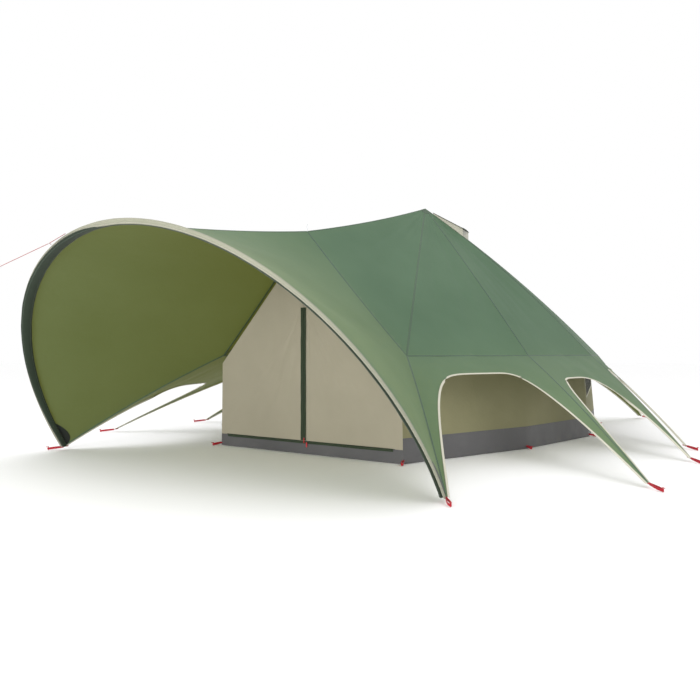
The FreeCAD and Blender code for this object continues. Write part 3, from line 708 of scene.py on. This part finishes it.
def tape_share(q):
    """Width of the mouth's tape: fullest at the crown (q = 1), narrow along the far half."""
    foot, crown, far, fade = 0.30, 0.92, 0.30, 4.0
    return foot + (crown - foot) * q if q < 1 else max(far, crown - fade * (q - 1))


def sleeve_share(q):
    """Girth of the sleeve: fullest half way down the far side, slim at both feet."""
    if q < 1:
        return 0.55 + 0.15 * q
    return 0.52 + 0.62 * math.sin(math.pi * min(1.0, 0.1 + 0.9 * (q - 1))) ** 0.8


def build_mouth_tape(path, outs, normals):
    """Off-white tape folded round the mouth's edge, its base colour darkened to about half that of the
    arch binding as painted shade; the section turns from outside to inside.
    """
    face = [(-0.030, 0.0030), (-0.014, 0.0040), (0.002, 0.0036), (0.0105, -0.0010),
            (0.0130, -0.0090), (0.0110, -0.0190), (0.0040, -0.0285), (-0.0060, -0.0345)]
    back = [(x - 0.0016, z - 0.0014) for x, z in reversed(face)]
    place = [i / 3.5 - 1 for i in range(8)]
    half = len(path) // 2
    rows = []
    for i, (p, o, n) in enumerate(zip(path, outs, normals)):
        share = tape_share(i / half)
        deep = min(1.0, share + 0.1)
        row = []
        for x, z in face + back:
            pull = 0.0008 * wave(i * 0.4, x * 30, 2.0)
            row.append(p + o * (x * share if x < 0 else x) + n * (z * deep + pull))
        rows.append(row)
    tape = Trim()
    tape.strip(rows, place + place[::-1], closed=True, caps=True)
    return tape.make("awning_binding", M_MOUTH_PAINTED_SHADE, nodes=["awning_piping"])


def build_sleeve(path, outs, normals):
    """Dark sleeve behind the tape that holds the rod."""
    inset, drop, half_width, half_depth, around = 0.0270, 0.0210, 0.0370, 0.0165, 16
    half = len(path) // 2
    angles = [2 * math.pi * k / around for k in range(around)]
    rows = []
    for i, (p, o, n) in enumerate(zip(path, outs, normals)):
        ring = []
        for k, a in enumerate(angles):
            pull = 0.0015 * wave(i * 0.35, k * 0.7, 5.0)
            ring.append(p + o * (-inset + (half_width + pull) * sleeve_share(i / half) * math.cos(a))
                        + n * (-drop + (half_depth + pull) * math.sin(a)))
        rows.append(ring)
    sleeve = Trim()
    sleeve.strip(rows, [math.cos(a) for a in angles], closed=True, caps=True)
    return sleeve.make("hoop_sleeve_cloth", M_SLEEVE, nodes=["hoop_sleeve"])


def build_corner_gussets():
    """Dark doubled cloth at the two feet of the hoop, where the rod ends."""
    sheet = Sheet()
    for side in (1, -1):
        turn = turn_of(side)
        for lift in (0.003, -0.003):
            rows = []
            for i in range(13):
                t = 0.915 + 0.083 * i / 12
                s0 = 0.86 - 0.82 * (i / 12) ** 0.9
                row = []
                for k in range(9):
                    s = s0 + (0.985 - s0) * k / 8
                    p = awning(s, t)
                    du = awning(min(1.0, s + 0.01), t) - awning(s - 0.01, t)
                    dt = awning(s, min(1.0, t + 0.01)) - awning(s, t - 0.01)
                    n = unit(np.cross(du, dt))
                    row.append((p + n * lift) * turn)
                rows.append(row)
            sheet.grid(rows, flip=side * lift < 0)
    return sheet.make("hoop_foot_gussets", M_GUSSET, sharp=60)


def build_peak():
    """Doubled patch over the peak and the net in the vent below it."""
    stops = (0.0, 0.008, 0.018, 0.028, 0.038, 0.046)
    up = np.array([0.0, 0.0, 0.0028])
    sheet = Sheet()
    for side in (1, -1):
        turn = turn_of(side)
        for f in ROOFS:
            rows = [[(f(i / 14, w) + up * (1 if w > 0 else 1.2)) * turn for i in range(15)]
                    for w in stops]
            rows.append([p - up * 0.8 for p in rows[-1]])
            sheet.grid(rows, flip=side < 0)
    rows = [[BACK_ROOF(i / 14, w) + up for i in range(15)] for w in stops]
    rows[0] = [PEAK + up * 1.2] * 15
    rows.append([p - up * 0.8 for p in rows[-1]])
    sheet.grid(rows)
    cap = sheet.make("peak_cap", M_PATCH, nodes=["peak_patch"])
    net = Sheet()
    for k in (3, 4):
        f = ROOFS[k]
        net.grid(patch(lambda u, w: f(u, PATCH + (VENT_END - PATCH) * w), 14, 12, fold=0.004,
                       freq=(3.0, 2.0), seed=k))
    mesh = net.make("vent_net", M_NET_PALE, nodes=["vent_mesh"], sharp=0)
    return cap, mesh


def build_vent_hood():
    """Stiff propped flap over the vent, its binding and the net at its two sides."""
    def point(u, w):
        top = mix(seam(2, VENT_TOP), seam(LAST, VENT_TOP), u) + np.array([0, 0, VENT_TOP_LIFT])
        low = mix(seam(2, VENT_LOW), seam(LAST, VENT_LOW), u) + np.array([0, 0, VENT_LOW_LIFT])
        bow = np.array([0, 0, 0.010 * 4 * u * (1 - u) * w])
        return mix(top, low, w) + bow

    sheet = Sheet()
    sheet.grid(patch(lambda u, w: point(u, w), 24, 24, fold=0.003, freq=(2.0, 2.0), seed=9))
    hood = sheet.make("vent_flap_cloth", M_FLY, body="vent_flap", nodes=["vent_hood"], thick=0.0016)
    trim = Trim()
    for route in ([(0.0, w) for w in span(0.0, 1.0, 20)], [(1.0, w) for w in span(0.0, 1.0, 20)],
                  [(u, 1.0) for u in span(0.0, 1.0, 20)]):
        path = [point(u, w) for u, w in route]
        inside = [p + (point(0.5, 0.5) - p) * 0.05 for p in path]
        outs, normals = edge_frames(path, inside, BODY_CENTRE)
        trim.band([p - o * 0.006 for p, o in zip(path, outs)], outs, normals, 0.018, 0.0050)
    edge = trim.make("vent_flap_binding", M_SLEEVE, body="vent_flap")
    sides = Sheet()
    for u, i, other in ((0.03, 2, LAST), (0.97, LAST, 2)):
        rows = []
        for j in range(9):
            row = []
            for w in span(0.0, 1.0, 18):
                down = VENT_TOP + (VENT_LOW - VENT_TOP) * w
                row.append(mix(mix(seam(i, down), seam(other, down), 0.03), point(u, w), j / 8))
            rows.append(row)
        sides.grid(rows)
    net = sides.make("vent_side_net", M_NET_PALE, body=None, sharp=0)
    foot = seam(2, VENT_LOW)
    top = point(0.0, 1.0)
    slope = unit(foot - seam(2, VENT_TOP))
    rise = top - foot
    rise = rise - slope * (rise @ slope)
    foot = foot + vec(0, SHIFT_Y, 0)
    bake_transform(net)
    return hood, edge, net


# ---------------------------- inner tent
def at(i, z):
    """Corner i of the inner tent at height z."""
    low = np.array([INNER[i][0], INNER[i][1], 0.0])
    high = np.array([INNER_TOP[i][0], INNER_TOP[i][1], EAVE_Z])
    return mix(low, high, z / EAVE_Z)


def along_points(points, t):
    """Point at share t of a chain of points, by length."""
    lengths = [float(np.linalg.norm(b - a)) for a, b in zip(points, points[1:])]
    left = t * sum(lengths)
    for a, b, size in zip(points, points[1:], lengths):
        if left <= size or b is points[-1]:
            return mix(a, b, min(1.0, left / size))
        left -= size


def quad(a, b, c, d):
    """Flat panel with lower corners a, b and upper corners c, d."""
    return lambda u, w: mix(mix(a, b, u), mix(c, d, u), w)


def fold_line(z):
    """Half width of the door at height z, to the slanted line that its leaf folds along."""
    return DOOR_HALF * (ZIP_TOP - z) / (ZIP_TOP - SILL_Z)


def build_inner_front():
    sheet = Sheet()
    gable, eave = vec(0, FRONT_Y, GABLE_Z), at(0, EAVE_Z)
    for side in (1, -1):
        outer = [gable, eave, at(0, TUB_Z), at(0, SILL_Z)]
        door = [vec(0, FRONT_Y, ZIP_TOP), vec(DOOR_HALF, FRONT_Y, SILL_Z)]

        def panel(u, w):
            return mix(along_points(door, w), along_points(outer, w), u)
        sheet.panel(panel, 26, 70, side, side > 0, fold=0.010, freq=(1.6, 6.0), seed=41 + side,
                    hold=0.5)
    return sheet.make("inner_front", M_INNER, nodes=["inner_front_wall"], sharp=0)


def build_leaf(side):
    tag, turn = tag_of(side), turn_of(side)
    sheet = Sheet()

    def panel(u, w):
        z = ZIP_TOP - 0.012 + (SILL_Z + 0.016 - ZIP_TOP) * w
        return vec(0.0014 + (fold_line(z) - 0.0014) * u, FRONT_Y, z)
    sheet.panel(panel, 40, 56, side, side > 0, fold=0.013, freq=(4.5, 3.0), seed=51 + side,
                hold=0.85)
    leaf = sheet.make("door_leaf_cloth_" + tag, M_INNER, body="leaf_" + tag,
                      nodes=["door_leaf_" + tag], sharp=0)
    tape = Trim()
    coil = Trim()
    zs = span(ZIP_TOP - 0.046, SILL_Z + 0.008, 90)
    sway = [0.0035 * wave(z * 9.0, 0.3, 8.0) for z in zs]
    x_of = [vec(0, FRONT_Y - 0.0065 + 1.2 * d, z) for z, d in zip(zs, sway)]
    across = [vec(1, 0, 0)] * len(zs)
    normal = [vec(0, -1, 0)] * len(zs)
    tape.band([p + vec(0.0165, 0, 0) for p in x_of], across, normal, 0.027, 0.0022, turn)
    coil.band([p + vec(0.0027, -0.0016, 0) for p in x_of], across, normal, 0.0046, 0.0042, turn)
    strip = tape.make("door_zip_tape_" + tag, M_ZIP, body="leaf_" + tag, nodes=["door_zip_" + tag])
    teeth = coil.make("door_zip_coil_" + tag, M_COIL, body="leaf_" + tag)
    return leaf, strip, teeth


def build_sill_zip():
    tape = Trim()
    xs = span(-DOOR_HALF + 0.02, DOOR_HALF - 0.02, 120)

    def z_of(x):
        return SILL_Z - 0.010 + 0.0025 * wave(x * 6.0, 1.7, 4.0)
    path = [vec(x, FRONT_Y - 0.0034, z_of(x)) for x in xs]
    tape.band(path, [vec(0, 0, 1)] * len(xs), [vec(0, -1, 0)] * len(xs), 0.024, 0.0024)
    band = tape.make("sill_zip_tape", M_ZIP, nodes=["sill_zip"])
    coil = Trim()
    coil.band([p - vec(0, 0.0014, 0) for p in path], [vec(0, 0, 1)] * len(xs),
              [vec(0, -1, 0)] * len(xs), 0.0060, 0.0042)
    return band, coil.make("sill_zip_coil", M_COIL)


def build_inner_side(side):
    tag, turn = tag_of(side), turn_of(side)
    sheet = Sheet()

    walls = [quad(at(i, TUB_Z), at(i + 1, TUB_Z), at(i, EAVE_Z), at(i + 1, EAVE_Z)) for i in range(3)]
    for i in (0, 1):
        sheet.panel(walls[i], 40, 24, side, side < 0, fold=0.014, freq=(4.5, 1.6),
                    seed=61 + i + side, hold=0.4)
    f = walls[2]
    pane = [np.array(corner) for corner in PANE]
    rim = [np.array(corner) for corner in [(0.0, 0.0), (1.0, 0.0), (1.0, 1.0), (0.0, 1.0)]]
    for j in range(4):
        k = (j + 1) % 4
        strip = quad(rim[j], rim[k], pane[j], pane[k])
        sheet.panel(lambda u, w: f(*strip(u, w)), 24, 10, side, side < 0, fold=0.006,
                    freq=(4.0, 1.0), seed=71 + j + side)
    # The side walls use the painted-shade copy of the inner cloth.
    cloth = sheet.make("inner_side_" + tag, M_WALL_PAINTED_SHADE, nodes=["inner_walls_" + tag], sharp=0)
    net = Sheet()
    window = quad(pane[0], pane[1], pane[3], pane[2])
    net.panel(lambda u, w: f(*window(u, w)), 30, 16, side, side < 0, fold=0.006, freq=(3.0, 2.0),
              seed=81 + side)
    mesh = net.make("window_net_" + tag, M_NET_DARK, nodes=["window_mesh"], sharp=0)
    hem = Trim()
    ring = [f(*pane[j]) for j in range(4)]
    route = []
    for j in range(4):
        route += [mix(ring[j], ring[(j + 1) % 4], i / 14) for i in range(14)]
    route.append(ring[0])
    middle = sum(ring) / 4
    outs = []
    for i, p in enumerate(route):
        way = unit(route[min(i + 1, len(route) - 1)] - route[max(i - 1, 0)])
        out = p - middle
        outs.append(unit(out - way * (out @ way)))
    face = unit(np.cross(ring[1] - ring[0], ring[3] - ring[0]))
    hem.band(route, outs, [face] * len(route), 0.018, 0.0034, turn)
    edge = hem.make("window_hem_" + tag, M_BIND)
    return cloth, mesh, edge


def build_inner_back():
    sheet = Sheet()
    low, high = at(3, TUB_Z), at(3, EAVE_Z)
    sheet.panel(quad(low * FLIP, low, high * FLIP, high), 60, 22, flip=True, fold=0.014,
                freq=(7.0, 1.5), seed=91, hold=0.4)
    # The back wall uses the painted-shade copy of the inner cloth.
    return sheet.make("inner_back", M_WALL_PAINTED_SHADE, nodes=["inner_back_wall"], sharp=0)


def build_inner_roof(side):
    tag = tag_of(side)
    sheet = Sheet()
    slope_y = (COLLAR_Z - GABLE_Z) / (-COLLAR - FRONT_Y)
    slope_x = (GABLE_Z - EAVE_Z) / INNER_TOP[0][0]

    def on_roof(x, y):
        return vec(x, y, GABLE_Z + slope_y * (y - FRONT_Y) - slope_x * abs(x))
    collar_front, collar_side = vec(0, -COLLAR, COLLAR_Z), vec(COLLAR, 0, COLLAR_Z)
    collar_back = vec(0, COLLAR, COLLAR_Z)
    start, end, closed = NOTCH_ENDS
    ridge_line = [vec(0, FRONT_Y, GABLE_Z), on_roof(NOTCH, FRONT_Y + start),
                  on_roof(NOTCH, FRONT_Y + end), on_roof(0, FRONT_Y + closed), collar_front,
                  collar_side]
    eaves = [at(i, EAVE_Z) for i in range(4)]
    back_mid = eaves[3] * np.array([0.0, 1.0, 1.0])

    def front(u, w):
        return mix(along_points(ridge_line, u), eaves[0], w)

    def middle(u, w):
        return mix(collar_side, along_points(eaves, u), w)

    def back(u, w):
        return mix(mix(collar_side, collar_back, u), mix(eaves[3], back_mid, u), w)
    for k, f in enumerate((front, middle, back)):
        sheet.panel(f, 60 if k == 0 else 40, 30, side, side < 0, fold=0.014, freq=(5.0, 1.5),
                    seed=101 + k + side)
    return sheet.make("inner_roof_cloth_" + tag, M_INNER, nodes=["inner_roof_" + tag], sharp=0)


def build_groundsheet():
    sheet = Sheet()
    outline = [at(i, FLOOR_Z) for i in range(4)]
    for side in (1, -1):
        turn = turn_of(side)

        def floor(u, w):
            edge = along_points([vec(INNER[0][0], FRONT_Y, FLOOR_Z)] + outline[1:], w)
            return vec(edge[0] * u, edge[1], FLOOR_Z)
        rows = patch(floor, 40, 90, fold=0.0)
        for row in rows:
            for p in row:
                p[2] += 0.0025 * (1 + wave(p[0] * 2.2, p[1] * 2.2, 3.0))
        sheet.grid(turned(rows, turn), flip=side > 0)
        for i in range(3):
            wall = quad(outline[i], outline[i + 1], at(i, TUB_Z), at(i + 1, TUB_Z))
            sheet.panel(wall, 44, 12, side, side < 0, fold=0.010, freq=(7.0, 1.0),
                        seed=111 + i + side, hold=0.35)

        def sill(u, w):
            x = INNER[0][0] * u
            top = vec(min(x, at(0, SILL_Z)[0]), FRONT_Y, SILL_Z)
            return mix(vec(x, FRONT_Y, FLOOR_Z), top, w)
        sheet.panel(sill, 44, 8, side, side > 0, fold=0.008, freq=(6.0, 1.0), seed=121 + side,
                    hold=0.35)
    foot, top = outline[3], at(3, TUB_Z)
    sheet.panel(quad(foot * FLIP, foot, top * FLIP, top), 60, 12, flip=True, fold=0.010,
                freq=(9.0, 1.0), seed=131, hold=0.35)
    return sheet.make("groundsheet_cloth", M_FLOOR, nodes=["groundsheet"], sharp=0)


def build_inner_hems():
    """Dark tape where the inner cloth is sewn to the groundsheet."""
    low = Trim()
    for side in (1, -1):
        turn = turn_of(side)
        route = [at(i, TUB_Z) for i in range(4)] + [at(3, TUB_Z) * FLIP]
        for i in range(4 if side > 0 else 3):
            a, b = route[i], route[i + 1]
            way = unit(b - a)
            up = unit(at(i, EAVE_Z) - at(i, TUB_Z))
            out = unit(np.cross(way, up))
            path = [mix(a, b, k / 30) for k in range(31)]
            low.band(path, [up] * 31, [out] * 31, 0.014, 0.0040, turn)
    return low.make("groundsheet_seam", M_FLOOR)


# ---------------------------- straps at the pegs
def build_straps():
    """Red loops round the pegs and the tabs that sew them to the cloth."""
    trim = Trim()
    tabs = Trim()
    corners = []
    for tip, low in zip(TIPS, PEGS):
        away = unit((low - tip) * np.array([1.0, 1.0, 0.0]))
        corners.append((tip + unit(low - tip) * STRAP_GAP, low + away * PEG_AHEAD))
    corners += [(vec(x, y, INNER_LOOP_Z), vec(x * INNER_LOOP_REACH, y * INNER_LOOP_REACH, 0))
                for x, y in INNER]
    for start, foot in corners:
        flat = unit((foot - start) * np.array([1.0, 1.0, 0.0]))
        end = foot + vec(0, 0, PEG_NECK) + flat * 0.008
        way = unit(end - start)
        side_way = unit(np.cross(way, vec(0, 0, 1)))
        up = unit(np.cross(side_way, way))
        size = float(np.linalg.norm(end - start))
        for turn in (turn_of(1), turn_of(-1)):
            path, across, normal = [], [], []
            for i in range(41):
                a = 2 * math.pi * i / 40
                reach = (1 - math.cos(a)) / 2
                swing = STRAP_SWING * math.sin(a) * reach ** 0.55
                path.append(start + way * (size * reach) + side_way * swing)
            for i, p in enumerate(path):
                along = unit(path[min(i + 1, 40)] - path[max(i - 1, 0)])
                across.append(up)
                normal.append(unit(np.cross(along, up)))
            trim.band(path, across, normal, STRAP_WIDTH, 0.0020, turn)
            tab = [start - way * 0.045 + way * 0.012 * i for i in range(6)]
            tabs.band([p + up * 0.001 for p in tab], [side_way] * 6, [up] * 6, 0.024, 0.0060, turn)
    loops = trim.make("peg_straps", M_RED, nodes=["peg_loops"])
    return loops, tabs.make("peg_strap_tabs", M_RED)


# ---------------------------- guy line
def make_cord(name, points, material):
    data = bpy.data.curves.new(name, "CURVE")
    data.dimensions = "3D"
    spline = data.splines.new("NURBS")
    spline.points.add(len(points) - 1)
    for slot, p in zip(spline.points, points):
        slot.co = (p[0], p[1] + SHIFT_Y, p[2], 1.0)
    spline.order_u = 3
    spline.use_endpoint_u = True
    spline.resolution_u = 12
    data.bevel_depth = CORD_R
    data.bevel_resolution = 5
    data.use_fill_caps = True
    data.materials.append(material)
    obj = new_object(name, data)
    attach(obj, "tent")
    return obj


def build_cords():
    ends = [np.array(p) for p in BRIDLE]
    knot = ends[1]
    points = [ends[0], knot + unit(ends[0] - knot) * KNOT, knot,
              knot + unit(ends[2] - knot) * KNOT, ends[2]]
    bridle = make_cord("bridle_cord", points, M_CORD)
    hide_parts("guy_bridle")
    line = make_cord("guy_cord", [np.array(GUY_START) + GUY_WAY * d for d in GUY_STATIONS], M_CORD)
    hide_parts("guy_line")
    return bridle, line


# ---------------------------- hard parts keep their CAD shape
def dress(material, *nodes):
    for name in nodes:
        obj = bpy.data.objects[name]
        if not obj.material_slots:
            obj.data.materials.append(None)
        for place in obj.material_slots:
            place.link = "OBJECT"
            place.material = material


seams = build_seams()
arch_bindings = build_arch_bindings()
mouth = hoop_line()
awning_binding = build_mouth_tape(*mouth)
sleeve_cloth = build_sleeve(*mouth)
gussets = build_corner_gussets()
peak_cap, vent_net = build_peak()
hood, hood_binding, hood_net = build_vent_hood()
inner_front = build_inner_front()
leaves = [build_leaf(1), build_leaf(-1)]
sill_tape, sill_coil = build_sill_zip()
sides = [build_inner_side(1), build_inner_side(-1)]
inner_back = build_inner_back()
roofs = [build_inner_roof(1), build_inner_roof(-1)]
tub = build_groundsheet()
tub_seam = build_inner_hems()
straps, strap_tabs = build_straps()
bridle_cord, guy_cord = build_cords()
dress(M_STEEL, "main_pole_section_1", "main_pole_section_2", "main_pole_section_3",
      "main_pole_top", "porch_pole_section_1", "porch_pole_section_2", "porch_pole_top",
      "pole_spigots", "hoop_ferrules", "guy_ring")
dress(M_ROD, "hoop_sections")
dress(M_FOOT, "pole_feet")
dress(M_PEG, "pegs")
dress(M_SLIDER, "door_slider", "sill_slider")
dress(M_PULL, "door_pull", "sill_pull", "guy_runner")


# ---------------------------- floor, light
def make_stage():
    bm = bmesh.new()
    bmesh.ops.create_grid(bm, x_segments=2, y_segments=2, size=60.0)
    mesh = bpy.data.meshes.new("floor")
    bm.to_mesh(mesh)
    bm.free()
    floor = new_object("floor", mesh)
    floor.location.z = -0.002
    mat, _, _, bsdf = new_material("floor_pale")
    bsdf.inputs["Base Color"].default_value = (0.99, 0.99, 0.99, 1)
    bsdf.inputs["Roughness"].default_value = 0.9
    mesh.materials.append(mat)


def area_light(name, place, aim, size, power):
    data = bpy.data.lights.new(name, "AREA")
    data.shape = "DISK"
    data.size = size
    data.energy = power
    lamp = new_object(name, data)
    lamp.location = place
    lamp.rotation_euler = (Vector(aim) - Vector(place)).to_track_quat("-Z", "Y").to_euler()


def make_world():
    world = bpy.data.worlds.new("studio")
    bpy.context.scene.world = world
    world.use_nodes = True
    sky = world.node_tree.nodes["Background"]
    sky.inputs["Color"].default_value = (1, 1, 1, 1)
    sky.inputs["Strength"].default_value = 1.0


make_stage()
bpy.context.scene.view_settings.view_transform = "Standard"
make_world()
area_light("key", (-4.0, -2.0, 9.5), (0, -1, 0.8), 7.0, 90)
area_light("fill", (9.0, -5.0, 8.0), (0, 0, 0.8), 7.0, 240)
area_light("front", (1.5, -10.5, 2.2), (0, -2, 0.8), 4.0, 330)
